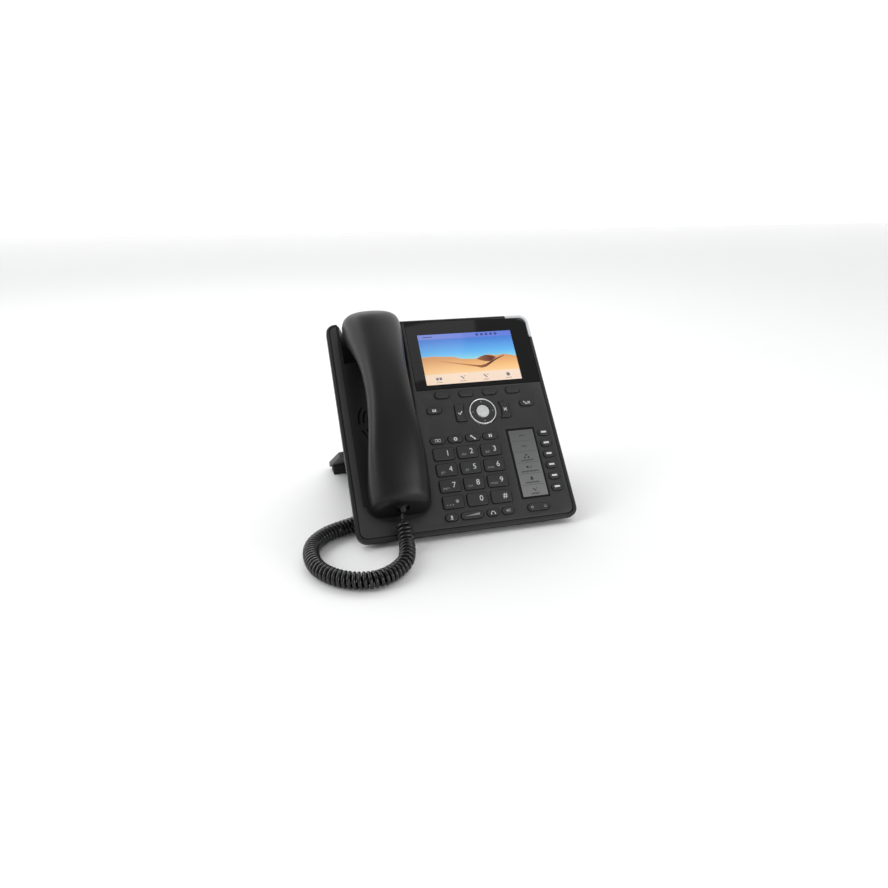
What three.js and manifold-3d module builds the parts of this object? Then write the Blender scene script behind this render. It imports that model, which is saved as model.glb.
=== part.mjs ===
// Desk IP phone: a sloped console with a handset on its left, a colour display, a dial pad,
// six line keys beside a label display, and a wide stand behind.
// Millimetres, +Z up. The origin is on the table under the middle of the phone.
// Most pieces are built in the console's own axes: u to the right, v up the face, w out of the face.
import * as THREE from 'three';
import { mergeVertices } from 'three/addons/utils/BufferGeometryUtils.js';
import Module from 'manifold-3d';

const wasm = await Module();
wasm.setup();

// ---------- driving dimensions ----------
const TILT_DEG = 48.2;          // face angle from the table
const FACE_WIDTH = 202;
const FACE_LENGTH = 212;
const FACE_CORNER = 9;
const FRONT_EDGE_HEIGHT = 6;    // height of the face's lower edge
const ORIGIN_BACK = 97;         // how far the origin lies behind the face's lower edge
const GAP = 0.3;                // gap between pieces that touch
const RIM_DEPTH = 5;
const HOUSING_DEPTH = 28;
const SIDE_TAPER = 26;          // how far the back plate is set in at the sides
const BOTTOM_TAPER = 20.6;
const TOP_TAPER = 22;
const WALL = 2.4;
const RIM_WIDTH = 2.8;
const GROOVE = 0.6;
const PLATE = 2.6;              // fascia thickness
const KEY_PROUD = 1.1;
const KEY_CLEARANCE = 0.35;     // around a key in its opening
const FLANGE_TOP = -PLATE - 0.4;
const ROCKER_FLANGE_TOP = FLANGE_TOP - 0.4;   // the rocking key needs more room under the fascia
const FLANGE_THICK = 1;
const FLANGE_REACH = 0.8;
const MAT_TOP = -5.3;
const MAT_THICK = 1.2;
const BOARD_TOP = MAT_TOP - MAT_THICK - GAP;
const BOARD_THICK = 1.6;

const DISPLAY = { u: 32.17, v: 168.47, width: 95.04, height: 53.86 };   // 4.3 inch, 16:9
const WINDOW = { left: -26, right: 97.6, bottom: 137, top: 210.1, thick: 1.5 };
const LABEL = { u: 64.85, v: 55.9, width: 28.2, height: 69.2 };
const NAV = { u: 32.84, v: 110.56, ring: 13.25, hole: 6.7, button: 6.2, pivot: -3.5 };

const HANDSET_U = -60.3;
const POCKET = {
  half: 27.2, lowerBottom: 16.1, lowerTop: 58, lowerFloor: -10, upperBottom: 170, upperFloor: -14,
  narrowing: 5.2,               // the upper pocket's half width shrinks by this much at its floor
};
const SPEAKER = { u: -61, v: 112, radius: 22.6 };
const HOOK = { v: 192, width: 10, height: 6, top: -12.8, bottom: -19 };

const STAND = {
  v: 96, w: -33.5, slopeDeg: 26.4, length: 117, thick: 5, half: 99.5, corner: 7, neck: 30,
  pin: 2.05, lugHole: 2.35,
};
const SOCKETS = { bottom: 62, top: 86, back: -42, half: 56 };

const CORD_RADIUS = 7;          // outside of the curly cord's turns
const TAIL_RADIUS = 1.8;
const TABLE = CORD_RADIUS;      // centre height of the curly cord on the table

// ---------- materials ----------
const finish = (color, roughness, metalness = 0) =>
  new THREE.MeshStandardMaterial({ color, roughness, metalness });
const charcoal = finish('#353537', 0.6);
const darkPlastic = finish('#222224', 0.55);
const keyPlastic = finish('#303032', 0.5);
const handsetPlastic = finish('#262627', 0.4);
const blackGloss = finish('#0c0c0e', 0.08);
const silver = finish('#c9cacc', 0.3, 0.9);
const clearLight = finish('#e9ebee', 0.25);
const rubber = finish('#161616', 0.85);
const silicone = finish('#5a5c60', 0.8);
const boardGreen = finish('#1f5a3a', 0.5);
const panelGrey = finish('#8a8f90', 0.4);
const metal = finish('#9a9c9e', 0.35, 0.9);
const cordPlastic = finish('#121213', 0.3);

// ---------- solids ----------
function solid(geometry) {
  const bare = geometry.index ? geometry.toNonIndexed() : geometry.clone();
  for (const name of Object.keys(bare.attributes)) {
    if (name !== 'position') bare.deleteAttribute(name);
  }
  const merged = mergeVertices(bare, 1e-4);
  return new wasm.Manifold(new wasm.Mesh({
    numProp: 3,
    vertProperties: merged.attributes.position.array,
    triVerts: merged.index.array,
  }));
}

function geometryOf(manifold) {
  const mesh = manifold.getMesh();
  const geometry = new THREE.BufferGeometry();
  geometry.setAttribute('position', new THREE.BufferAttribute(mesh.vertProperties, 3));
  geometry.setIndex(new THREE.BufferAttribute(mesh.triVerts, 1));
  geometry.computeVertexNormals();
  return geometry;
}

function prism(shape, low, high, curveSegments = 3) {
  const settings = { depth: high - low, bevelEnabled: false, curveSegments };
  return new THREE.ExtrudeGeometry(shape, settings).translate(0, 0, low);
}

function box(width, height, depth, x, y, z) {
  return new THREE.BoxGeometry(width, height, depth).translate(x, y, z);
}

function disc(radius, low, high, u, v, sides = 24) {
  const cylinder = new THREE.CylinderGeometry(radius, radius, high - low, sides);
  return cylinder.rotateX(Math.PI / 2).translate(u, v, (low + high) / 2);
}

function roundedRect(width, height, radius, u = 0, v = 0) {
  const left = u - width / 2;
  const right = u + width / 2;
  const bottom = v - height / 2;
  const top = v + height / 2;
  const shape = new THREE.Shape();
  shape.moveTo(left + radius, bottom);
  shape.lineTo(right - radius, bottom);
  shape.absarc(right - radius, bottom + radius, radius, -Math.PI / 2, 0);
  shape.lineTo(right, top - radius);
  shape.absarc(right - radius, top - radius, radius, 0, Math.PI / 2);
  shape.lineTo(left + radius, top);
  shape.absarc(left + radius, top - radius, radius, Math.PI / 2, Math.PI);
  shape.lineTo(left, bottom + radius);
  shape.absarc(left + radius, bottom + radius, radius, Math.PI, Math.PI * 1.5);
  return shape;
}

// Joins rings of equal point count into one closed solid with flat ends.
function loft(rings) {
  const count = rings[0].length;
  const triangles = [];
  const face = (a, b, c) => triangles.push(...a.toArray(), ...b.toArray(), ...c.toArray());
  for (let i = 0; i + 1 < rings.length; i++) {
    for (let j = 0; j < count; j++) {
      const k = (j + 1) % count;
      face(rings[i][j], rings[i][k], rings[i + 1][k]);
      face(rings[i][j], rings[i + 1][k], rings[i + 1][j]);
    }
  }
  const last = rings[rings.length - 1];
  for (let j = 1; j + 1 < count; j++) {
    face(rings[0][0], rings[0][j + 1], rings[0][j]);
    face(last[0], last[j], last[j + 1]);
  }
  const geometry = new THREE.BufferGeometry();
  geometry.setAttribute('position', new THREE.Float32BufferAttribute(triangles, 3));
  return geometry;
}

const without = (base, ...cutters) => cutters.reduce((left, cutter) => left.subtract(cutter), base);
const joined = (first, ...others) => others.reduce((sum, other) => sum.add(other), first);

// ---------- scene ----------
const phone = new THREE.Group();
phone.name = 'desk_phone';
const console_ = new THREE.Group();      // the tilted u, v, w axes
console_.position.set(0, -ORIGIN_BACK, FRONT_EDGE_HEIGHT);
console_.rotation.x = THREE.MathUtils.degToRad(TILT_DEG);
phone.add(console_);

function place(name, geometry, material, parent = console_) {
  const mesh = new THREE.Mesh(geometry, material);
  mesh.name = name;
  parent.add(mesh);
  return mesh;
}

const placeSolid = (name, manifold, material, parent) =>
  place(name, geometryOf(manifold), material, parent);

// ---------- call indicator light, round the upper right corner ----------
const LIGHT = { startU: 78, endV: 187, width: 2.6, back: -4, front: 0.4 };

function lightShape(grow) {
  const right = FACE_WIDTH / 2;
  const top = FACE_LENGTH;
  const inner = LIGHT.width + grow;
  const cornerU = right - FACE_CORNER;
  const cornerV = top - FACE_CORNER;
  const shape = new THREE.Shape();
  shape.moveTo(right + grow, LIGHT.endV - grow);
  shape.lineTo(right + grow, cornerV);
  shape.absarc(cornerU, cornerV, FACE_CORNER + grow, 0, Math.PI / 2);
  shape.lineTo(LIGHT.startU - grow, top + grow);
  shape.lineTo(LIGHT.startU - grow, top - inner);
  shape.absarc(cornerU, cornerV, FACE_CORNER - inner, Math.PI / 2, 0, true);
  shape.lineTo(right - inner, LIGHT.endV - grow);
  return shape;
}

place('call_indicator_light', prism(lightShape(0), LIGHT.back, LIGHT.front, 6), clearLight);
const lightNotch = solid(prism(lightShape(GAP), LIGHT.back - GAP, LIGHT.front + 1, 6));

// ---------- keys: outlines in one list, so each opening in the fascia follows its key ----------
const pill = (width, height) => (grow) =>
  roundedRect(width + 2 * grow, height + 2 * grow, height / 2 - 0.1 + grow);
const dialOutline = (grow) => roundedRect(19 + 2 * grow, 11.3 + 2 * grow, 2 + grow);

// The keys beside the navigation ring follow it with a hollow side. side is -1 left, 1 right.
function besideRing(side) {
  const reach = 19;
  const far = 26.5;
  const half = 8.2;
  return (grow) => {
    const radius = reach - grow;
    const tall = half + grow;
    const angle = Math.asin(tall / radius);
    const middle = side > 0 ? 0 : Math.PI;
    const shape = new THREE.Shape();
    shape.moveTo(side * (far + grow), -side * tall);
    shape.lineTo(side * (far + grow), side * tall);
    shape.absarc(0, 0, radius, middle + angle, middle - angle, true);
    return shape;
  };
}

const keys = [];
const addKey = (name, u, v, outline, width, height, shift = 0, flangeTop = FLANGE_TOP) =>
  keys.push({ name, u, v, outline, width, height, shift, flangeTop });

const DIAL_NAMES = ['1', '2', '3', '4', '5', '6', '7', '8', '9', 'star', '0', 'hash'];
const DIAL_PITCH = { u: 22.41, v: 15.15 };
DIAL_NAMES.forEach((label, index) => {
  const u = -12.63 + DIAL_PITCH.u * (index % 3);
  const v = 71.99 - DIAL_PITCH.v * Math.floor(index / 3);
  addKey(`dial_key_${label}`, u, v, dialOutline, 19, 11.3);
});
['directory', 'menu', 'transfer', 'hold'].forEach((label, index) => {
  addKey(`function_key_${label}`, -15.83 + 16.77 * index, 85.4, pill(13.9, 6.2), 13.9, 6.2);
});
for (let index = 0; index < 4; index++) {
  addKey(`soft_key_${index + 1}`, -3.2 + 23.4 * index, 130.1, pill(13.6, 5.8), 13.6, 5.8);
}
for (let index = 0; index < 6; index++) {
  addKey(`line_key_${index + 1}`, 87.3, 83.6 - 10.88 * index, pill(10.8, 6), 10.8, 6);
}
addKey('message_key', -13.6, 115.1, pill(13.6, 5.6), 13.6, 5.6);
addKey('redial_key', 77.8, 115.4, pill(13.6, 5.6), 13.6, 5.6);
addKey('confirm_key', NAV.u, NAV.v, besideRing(-1), 9, 16.4, -22.2);
addKey('cancel_key', NAV.u, NAV.v, besideRing(1), 9, 16.4, 22.2);
addKey('mute_key', -16.8, 12.9, pill(11.2, 6.2), 11.2, 6.2);
addKey('volume_key', 2, 12.8, pill(20.3, 6.3), 20.3, 6.3, 0, ROCKER_FLANGE_TOP);
addKey('headset_key', 21.2, 12.8, pill(10.9, 6.1), 10.9, 6.1);
addKey('speaker_key', 35.3, 12.8, pill(10.9, 6.1), 10.9, 6.1);
addKey('page_key', 64.8, 12.8, pill(20.6, 6.4), 20.6, 6.4);

for (const key of keys) {
  const cap = prism(key.outline(0), key.flangeTop - 0.5, KEY_PROUD, 1);
  const flangeWidth = key.width + 2 * FLANGE_REACH;
  const flangeHeight = key.height + 2 * FLANGE_REACH;
  const flangeLevel = key.flangeTop - FLANGE_THICK / 2;
  const flange = box(flangeWidth, flangeHeight, FLANGE_THICK, key.shift, 0, flangeLevel);
  const mesh = placeSolid(key.name, solid(cap).add(solid(flange)), keyPlastic);
  mesh.position.set(key.u, key.v, 0);
}

// ---------- navigation ring on a gimbal, with its centre button ----------
const ringLow = -3.9;
const ringHigh = 0.9;
placeSolid('navigation_ring',
  solid(disc(NAV.ring, ringLow, ringHigh, NAV.u, NAV.v, 40))
    .subtract(solid(disc(NAV.hole, ringLow - 1, ringHigh + 1, NAV.u, NAV.v, 28))), keyPlastic);
placeSolid('navigation_gimbal',
  solid(disc(9, -5, -4.6, NAV.u, NAV.v, 24)).subtract(solid(disc(7, -6, -4, NAV.u, NAV.v, 24))), metal);
place('navigation_button', disc(NAV.button, -4.4, KEY_PROUD, NAV.u, NAV.v, 28), silver);

// ---------- front fascia ----------
const plateHalf = FACE_WIDTH / 2 - RIM_WIDTH - GROOVE;
const plateBottom = 4;
const plateTop = WINDOW.top;
const plateHeight = plateTop - plateBottom;
const plateMiddle = (plateTop + plateBottom) / 2;

// The lower pocket has a bowed lower edge that follows the end of the handset.
function lowerPocket(grow) {
  const half = POCKET.half + grow;
  const bottom = POCKET.lowerBottom - grow;
  const shape = new THREE.Shape();
  shape.moveTo(HANDSET_U - half, POCKET.lowerTop + grow);
  shape.lineTo(HANDSET_U - half, bottom + 16);
  shape.bezierCurveTo(HANDSET_U - half, bottom + 3, HANDSET_U - 14, bottom, HANDSET_U, bottom);
  shape.bezierCurveTo(HANDSET_U + 14, bottom, HANDSET_U + half, bottom + 3, HANDSET_U + half, bottom + 16);
  shape.lineTo(HANDSET_U + half, POCKET.lowerTop + grow);
  return shape;
}

const pocketWall = 2;

// The upper pocket narrows towards its floor and runs out of the face's upper edge.
function upperPocket(grow, high) {
  const corners = (narrowing, raise, level) => {
    const half = POCKET.half + 0.5 + grow - narrowing;
    const bottom = POCKET.upperBottom - grow + raise;
    return [[-half, bottom], [half, bottom], [half, FACE_LENGTH + 20], [-half, FACE_LENGTH + 20]]
      .map(([u, v]) => new THREE.Vector3(HANDSET_U + u, v, level));
  };
  const slope = POCKET.narrowing / -POCKET.upperFloor;
  const floor = POCKET.upperFloor - grow;
  const endSlope = 1.5 * slope;
  const ringAt = (level) => corners(-slope * level, -endSlope * level, level).reverse();
  return loft([ringAt(high), ringAt(floor)]);
}

function grilleSlots() {
  const slots = [];
  for (let ring = 0; ring < 4; ring++) {
    const radius = SPEAKER.radius - 4.4 * ring;
    const spokes = ring < 2 ? 6 : 4;
    for (let part = 0; part < spokes; part++) {
      const sweep = (Math.PI * 2) / spokes;
      const margin = 3.2 / radius;
      const from = part * sweep + margin + 0.26;
      const to = (part + 1) * sweep - margin + 0.26;
      const shape = new THREE.Shape();
      shape.absarc(SPEAKER.u, SPEAKER.v, radius + 0.75, from, to);
      shape.absarc(SPEAKER.u, SPEAKER.v, radius - 0.75, to, from, true);
      slots.push(solid(prism(shape, -PLATE - 1, 1, 3)));
    }
  }
  return slots;
}

const faceTray = joined(
  solid(prism(roundedRect(2 * plateHalf, plateHeight, FACE_CORNER - RIM_WIDTH, 0, plateMiddle), -PLATE, 0)),
  solid(prism(lowerPocket(pocketWall), POCKET.lowerFloor - pocketWall, -0.5, 4)),
  solid(upperPocket(pocketWall, -0.5)).intersect(solid(box(80, 60, 40, HANDSET_U, plateTop - 30, -10))),
);
const keyOpenings = keys.map((key) =>
  solid(prism(key.outline(KEY_CLEARANCE), -PLATE - 1, 2, 1).translate(key.u, key.v, 0)));
const recessU = (WINDOW.left + WINDOW.right) / 2 + 2 - GAP;
const recessV = (WINDOW.bottom + WINDOW.top) / 2 + 2 - GAP;
const windowRecess = solid(box(WINDOW.right - WINDOW.left + 4, WINDOW.top - WINDOW.bottom + 4, 10,
  recessU, recessV, 5 - WINDOW.thick - GAP));
const fascia = without(
  faceTray,
  solid(prism(lowerPocket(0), POCKET.lowerFloor, 2, 4)),
  solid(upperPocket(0, 2)),
  ...keyOpenings,
  ...grilleSlots(),
  windowRecess,
  solid(box(DISPLAY.width + 7, DISPLAY.height + 7, 20, DISPLAY.u, DISPLAY.v, 0)),
  solid(box(LABEL.width, LABEL.height, 20, LABEL.u, LABEL.v, 0)),
  solid(disc(NAV.ring + 0.5, -5, 2, NAV.u, NAV.v, 40)),
  solid(box(HOOK.width + 0.8, HOOK.height + 0.8, 20, HANDSET_U, HOOK.v, POCKET.upperFloor)),
  lightNotch,
);
placeSolid('front_fascia', fascia, charcoal);

// ---------- display window and displays ----------
const windowShape = new THREE.Shape();
windowShape.moveTo(WINDOW.left, WINDOW.bottom);
windowShape.lineTo(WINDOW.right, WINDOW.bottom);
windowShape.lineTo(WINDOW.right, WINDOW.top - 6);
windowShape.absarc(WINDOW.right - 6, WINDOW.top - 6, 6, 0, Math.PI / 2);
windowShape.lineTo(WINDOW.left, WINDOW.top);
placeSolid('display_window', solid(prism(windowShape, -WINDOW.thick, 0)).subtract(lightNotch), blackGloss);
place('colour_display',
  box(DISPLAY.width + 6, DISPLAY.height + 6, 3.6, DISPLAY.u, DISPLAY.v, -3.6), panelGrey);
place('label_display', box(LABEL.width - 0.6, LABEL.height - 0.6, 3.6, LABEL.u, LABEL.v, -2.3), panelGrey);

// ---------- inside the console ----------
const BOARD = { left: -24, right: 91, bottom: 10, top: 200 };
const boardMiddleU = (BOARD.left + BOARD.right) / 2;
placeSolid('keypad_mat', without(
  solid(box(BOARD.right - BOARD.left, 124, MAT_THICK, boardMiddleU, 74, MAT_TOP - MAT_THICK / 2)),
  solid(disc(14, -10, 0, NAV.u, NAV.v, 24)),
), silicone);
place('main_circuit_board', box(BOARD.right - BOARD.left, BOARD.top - BOARD.bottom, BOARD_THICK,
  boardMiddleU, (BOARD.top + BOARD.bottom) / 2, BOARD_TOP - BOARD_THICK / 2), boardGreen);
const speakerTop = -PLATE - GAP;
const speakerProfile = [
  [0, -19], [14, -19], [14, -12], [25, -5.5], [25, speakerTop], [23, speakerTop], [10, -9], [0, -9],
];
place('loudspeaker', new THREE.LatheGeometry(speakerProfile.map(([r, y]) => new THREE.Vector2(r, y)), 24)
  .rotateX(Math.PI / 2).translate(SPEAKER.u, SPEAKER.v, 0), metal);
const hookMiddle = (HOOK.top + HOOK.bottom) / 2;
place('hook_switch',
  box(HOOK.width, HOOK.height, HOOK.top - HOOK.bottom, HANDSET_U, HOOK.v, hookMiddle), darkPlastic);

// ---------- rear housing ----------
function housingRing(insetSide, insetBottom, insetTop, radius, level) {
  const cornerU = FACE_WIDTH / 2 - insetSide - radius;
  const lowV = insetBottom + radius;
  const highV = FACE_LENGTH - insetTop - radius;
  const corners = [[cornerU, lowV, -90], [cornerU, highV, 0], [-cornerU, highV, 90], [-cornerU, lowV, 180]];
  const ring = [];
  for (const [u, v, start] of corners) {
    for (let step = 0; step <= 5; step++) {
      const angle = THREE.MathUtils.degToRad(start + 18 * step);
      ring.push(new THREE.Vector3(u + radius * Math.cos(angle), v + radius * Math.sin(angle), level));
    }
  }
  return ring.reverse();
}

const housingOutside = loft([
  housingRing(0, 0, 0, FACE_CORNER, 0),
  housingRing(0, 0, 0, FACE_CORNER, -RIM_DEPTH),
  housingRing(SIDE_TAPER, BOTTOM_TAPER, TOP_TAPER, FACE_CORNER, -HOUSING_DEPTH),
]);
const housingInside = loft([
  housingRing(RIM_WIDTH, RIM_WIDTH + 0.6, 1.5, FACE_CORNER - RIM_WIDTH, 1),
  housingRing(RIM_WIDTH, RIM_WIDTH + 0.6, 1.5, FACE_CORNER - RIM_WIDTH, -RIM_DEPTH + 0.8),
  housingRing(SIDE_TAPER + 0.4, BOTTOM_TAPER + 0.8, TOP_TAPER + 0.4, FACE_CORNER - RIM_WIDTH,
    -HOUSING_DEPTH + WALL),
]);

const lugSpacing = 62;
const lugWidth = 8;
// A round bar that lies across the phone.
const crossBar = (radius, length, u = 0, v = 0, w = 0) =>
  solid(new THREE.CylinderGeometry(radius, radius, length, 16).rotateZ(Math.PI / 2).translate(u, v, w));

function lug(u) {
  const reach = 5.5;
  return joined(
    solid(box(lugWidth, 2 * reach, 8, u, STAND.v, -HOUSING_DEPTH - 1.5)),
    crossBar(reach, lugWidth, u, STAND.v, STAND.w),
  ).subtract(crossBar(STAND.lugHole, lugWidth + 2, u, STAND.v, STAND.w));
}

const socketMiddle = (SOCKETS.bottom + SOCKETS.top) / 2;
const socketHeight = SOCKETS.top - SOCKETS.bottom;
const pocketRoom = solid(upperPocket(pocketWall + GAP, 2))
  .intersect(solid(box(80, 30, 60, HANDSET_U, FACE_LENGTH - 10, 0)));
const housing = joined(
  without(
    solid(housingOutside),
    solid(housingInside),
    lightNotch,
    pocketRoom,
    solid(box(2 * SOCKETS.half - 12, socketHeight - 8, 10, 0, socketMiddle, -HOUSING_DEPTH)),
  ),
  lug(-lugSpacing),
  lug(lugSpacing),
);
placeSolid('rear_housing', housing, darkPlastic);

// ---------- socket block on the back ----------
const socketLevel = -35;
const socketHole = (width, tall, u) => solid(box(width, 28, tall, u, SOCKETS.bottom, socketLevel));
placeSolid('socket_block', without(
  solid(box(2 * SOCKETS.half, socketHeight, -SOCKETS.back - HOUSING_DEPTH - GAP,
    0, socketMiddle, (SOCKETS.back - HOUSING_DEPTH - GAP) / 2)),
  socketHole(8.4, 8, -44),
  socketHole(8.4, 8, -26),
  socketHole(12.4, 9, 2),
  socketHole(12.4, 9, 26),
  socketHole(7, 7, 46),
), darkPlastic);

// ---------- feet under the front edge ----------
for (const [name, x] of [['front_foot_left', -58], ['front_foot_right', 58]]) {
  place(name, box(30, 16, 2.3, x, 16 - ORIGIN_BACK, 1.15), rubber, phone);
}

// ---------- stand ----------
const standSlope = THREE.MathUtils.degToRad(STAND.slopeDeg);
const hinge = new THREE.Vector3(0, STAND.v, STAND.w)
  .applyAxisAngle(new THREE.Vector3(1, 0, 0), console_.rotation.x)
  .add(console_.position);
const standGroup = new THREE.Group();
standGroup.position.copy(hinge);
standGroup.rotation.x = -standSlope;
phone.add(standGroup);

const lugRoom = (u) => solid(box(lugWidth + 1, 17, 20, u, 0, 0));
const standPins = [-lugSpacing, lugSpacing].map((u) => crossBar(STAND.pin, lugWidth + 8, u));
const barrelRadius = STAND.thick / 2 + 1;
const barrelLength = 2 * lugSpacing + 22;
const hingeBarrel = crossBar(barrelRadius, barrelLength);
const plateStart = 12;
const plateLength = STAND.length - plateStart;
const standPlate = roundedRect(2 * STAND.half, plateLength, STAND.corner, 0, plateStart + plateLength / 2);
const standNeck = box(barrelLength, STAND.neck, STAND.thick, 0, STAND.neck / 2, 0);
placeSolid('foot_stand', joined(
  without(
    joined(solid(prism(standPlate, -STAND.thick / 2, STAND.thick / 2)), solid(standNeck), hingeBarrel),
    lugRoom(-lugSpacing),
    lugRoom(lugSpacing),
  ),
  ...standPins,
), darkPlastic, standGroup);

// The rubber strip under the stand is cut flat to the table.
const stripFront = 172;
const stripBack = 188;
const underside = (y) => {
  const drop = STAND.thick / 2 + GAP;
  return hinge.z - (y - ORIGIN_BACK - hinge.y) * Math.tan(standSlope) - drop / Math.cos(standSlope);
};
const strip = new THREE.Shape();
strip.moveTo(stripFront - ORIGIN_BACK, 0);
strip.lineTo(stripBack - ORIGIN_BACK, 0);
strip.lineTo(stripBack - ORIGIN_BACK, underside(stripBack));
strip.lineTo(stripFront - ORIGIN_BACK, underside(stripFront));
const stripHalf = 97;
const stripGeometry = prism(strip, -stripHalf, stripHalf);
stripGeometry.applyMatrix4(new THREE.Matrix4().makeBasis(
  new THREE.Vector3(0, 1, 0), new THREE.Vector3(0, 0, 1), new THREE.Vector3(1, 0, 0)));
place('stand_foot_strip', stripGeometry, rubber, phone);

// ---------- handset ----------
// Stations along the handset: outer edge (v, w), inner edge (v, w), height of the widest line, half width.
const stations = [
  [26.8, 17.5, 20, -2, 6, 13],
  [27.4, 21.5, 19.8, -5, 5, 18.5],
  [29, 25, 21.8, -7.5, 4, 22.2],
  [32, 28, 27, -8.3, 4, 25],
  [40, 31, 37, -8.3, 6.5, 26.3],
  [50, 34.5, 48, -4.5, 13, 25.7],
  [64, 38.5, 64, 6, 23, 24.5],
  [80, 42.5, 80, 15.5, 30, 22.8],
  [100, 45.8, 100, 21, 34.3, 20.4],
  [120, 47, 120, 22.5, 35, 19.1],
  [140, 46.2, 140, 21, 34.5, 19.2],
  [157, 44, 157, 14.5, 29.5, 20.8],
  [171, 40.5, 171, 3, 24, 23.1],
  [184, 36.5, 184, -9.5, 17, 25.2],
  [196, 32.5, 196, -12.5, 10, 26.6],
  [204, 28, 205, -12.5, 7, 26.3],
  [208.5, 21.5, 209.5, -10.5, 5, 23.5],
  [210.3, 15, 211.3, -6, 4, 17.5],
];
const SIDES = 24;
const SQUARENESS = 2.5;         // 2 is an ellipse, higher is boxier

function handsetRing([outV, outW, inV, inW, wideW, half], shrink = 0) {
  const ring = [];
  const share = (wideW - inW) / (outW - inW);
  const middleV = inV + (outV - inV) * share;
  for (let j = 0; j < SIDES; j++) {
    const angle = (j / SIDES) * Math.PI * 2;
    const across = Math.sign(Math.cos(angle)) * Math.abs(Math.cos(angle)) ** (2 / SQUARENESS);
    const along = Math.sign(Math.sin(angle)) * Math.abs(Math.sin(angle)) ** (2 / SQUARENESS);
    const endV = along > 0 ? outV : inV;
    const endW = along > 0 ? outW - shrink : inW + shrink;
    const reach = Math.abs(along);
    ring.push(new THREE.Vector3(
      HANDSET_U + across * (half - shrink),
      middleV + (endV - middleV) * reach,
      wideW + (endW - wideW) * reach,
    ));
  }
  return ring;
}

const shellWall = 2.2;
const rings = stations.map((station) => handsetRing(station)).map((ring) => ring.reverse());
const cavityRings = stations.slice(2, -2).map((station) => handsetRing(station, shellWall).reverse());
const handsetShell = solid(loft(rings)).subtract(solid(loft(cavityRings)));

// Everything above a line along the widest part of the handset, drawn in v and w and run across u.
function abovePartingLine(offset) {
  const line = new THREE.Shape();
  line.moveTo(0, 80);
  line.lineTo(0, 3 + offset);
  for (const [outV, , , , wideW] of stations) line.lineTo(outV - 2, wideW - 2 + offset);
  line.lineTo(240, 2 + offset);
  line.lineTo(240, 80);
  const wedge = prism(line, -120, 0);
  wedge.applyMatrix4(new THREE.Matrix4().makeBasis(
    new THREE.Vector3(0, 1, 0), new THREE.Vector3(0, 0, 1), new THREE.Vector3(1, 0, 0)));
  return solid(wedge);
}

const plugHole = solid(box(11.4, 22, 9.4, HANDSET_U, 27, 10.7));
const hollowShell = handsetShell.subtract(plugHole);
placeSolid('handset_outer_shell', hollowShell.intersect(abovePartingLine(GAP)), handsetPlastic);
placeSolid('handset_inner_shell', hollowShell.subtract(abovePartingLine(0)), handsetPlastic);
place('earpiece_capsule', disc(10, -2.5, 4, HANDSET_U, 190, 24), metal);
place('microphone_capsule', disc(4.5, -1, 2.5, HANDSET_U, 44, 16), metal);

// ---------- handset cord ----------
function tube(points, radius, steps, halfSides = 5) {
  const ring = new THREE.Shape();
  ring.absarc(0, 0, radius, 0, Math.PI * 2);
  const stops = points.map((point) => new THREE.Vector3(...point));
  const extrudePath = new THREE.CatmullRomCurve3(stops, false, 'centripetal');
  const settings = { steps, extrudePath, curveSegments: halfSides, bevelEnabled: false };
  return solid(new THREE.ExtrudeGeometry(ring, settings));
}

// A point given on the console's axes, in the phone's frame.
const onFace = (u, v, w) => new THREE.Vector3(u, v, w)
  .applyAxisAngle(new THREE.Vector3(1, 0, 0), console_.rotation.x).add(console_.position).toArray();
// A point on the table, measured from under the face's lower edge.
const onTable = (x, y, z = TABLE) => [x, y - ORIGIN_BACK, z];

const coilRoute = [
  onFace(-61.2, 14.6, 8.6),
  onFace(-61.3, 8, 8.8),
  onFace(-61.5, 0.5, 9),
  onTable(-62.2, -13.3, 7.6),
  onTable(-64.6, -25),
  onTable(-69.2, -38),
  onTable(-79.4, -50.5),
  onTable(-94.8, -59),
  onTable(-111.5, -57.6),
  onTable(-126.4, -48.2),
  onTable(-137.4, -31.5),
  onTable(-140.4, -10),
  onTable(-136.6, 8.5),
  onTable(-125.3, 23.2),
  onTable(-112, 31.4),
  onTable(-99.5, 36.5),
  onTable(-87, 44),
  onTable(-75, 52.5),
];
const lowerTail = [onTable(-77, 51), onTable(-69, 56.6, 8), onTable(-58, 62, 12), onTable(-48, 62, 16.5),
  onFace(-44.3, 51.5, -35.3), onFace(-44, 56.4, -35)];
const upperTail = [onFace(-61.2, 13, 8.6), onFace(-61.1, 16, 8.7), onFace(-61, 19.4, 9)];
placeSolid('curly_cord', joined(tube(coilRoute, CORD_RADIUS, 60), tube(lowerTail, TAIL_RADIUS, 14, 4),
  tube(upperTail, TAIL_RADIUS, 4, 4)), cordPlastic, phone);

const plugLength = 11;
placeSolid('handset_plug', joined(
  solid(box(9.6, plugLength, 7.6, HANDSET_U, 25.5 + plugLength / 2 - 1, 10.7)),
  solid(box(5, 6.2, 5, HANDSET_U - 0.5, 22.9, 9.8)),
), darkPlastic);
placeSolid('base_plug', joined(
  solid(box(7.8, 12, 7.2, -44, 67, socketLevel)),
  solid(box(4.6, 5, 4.6, -44, 59.4, socketLevel)),
), darkPlastic);

export default phone;
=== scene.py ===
# Desk IP phone: the moulded shells, keys, printed legends, display picture, curly cord and their finishes.
# Lengths are millimetres on the console's own axes, u to the right, v up the face and w out of it,
# and FACE turns them into metres in the phone's frame.
import math

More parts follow.
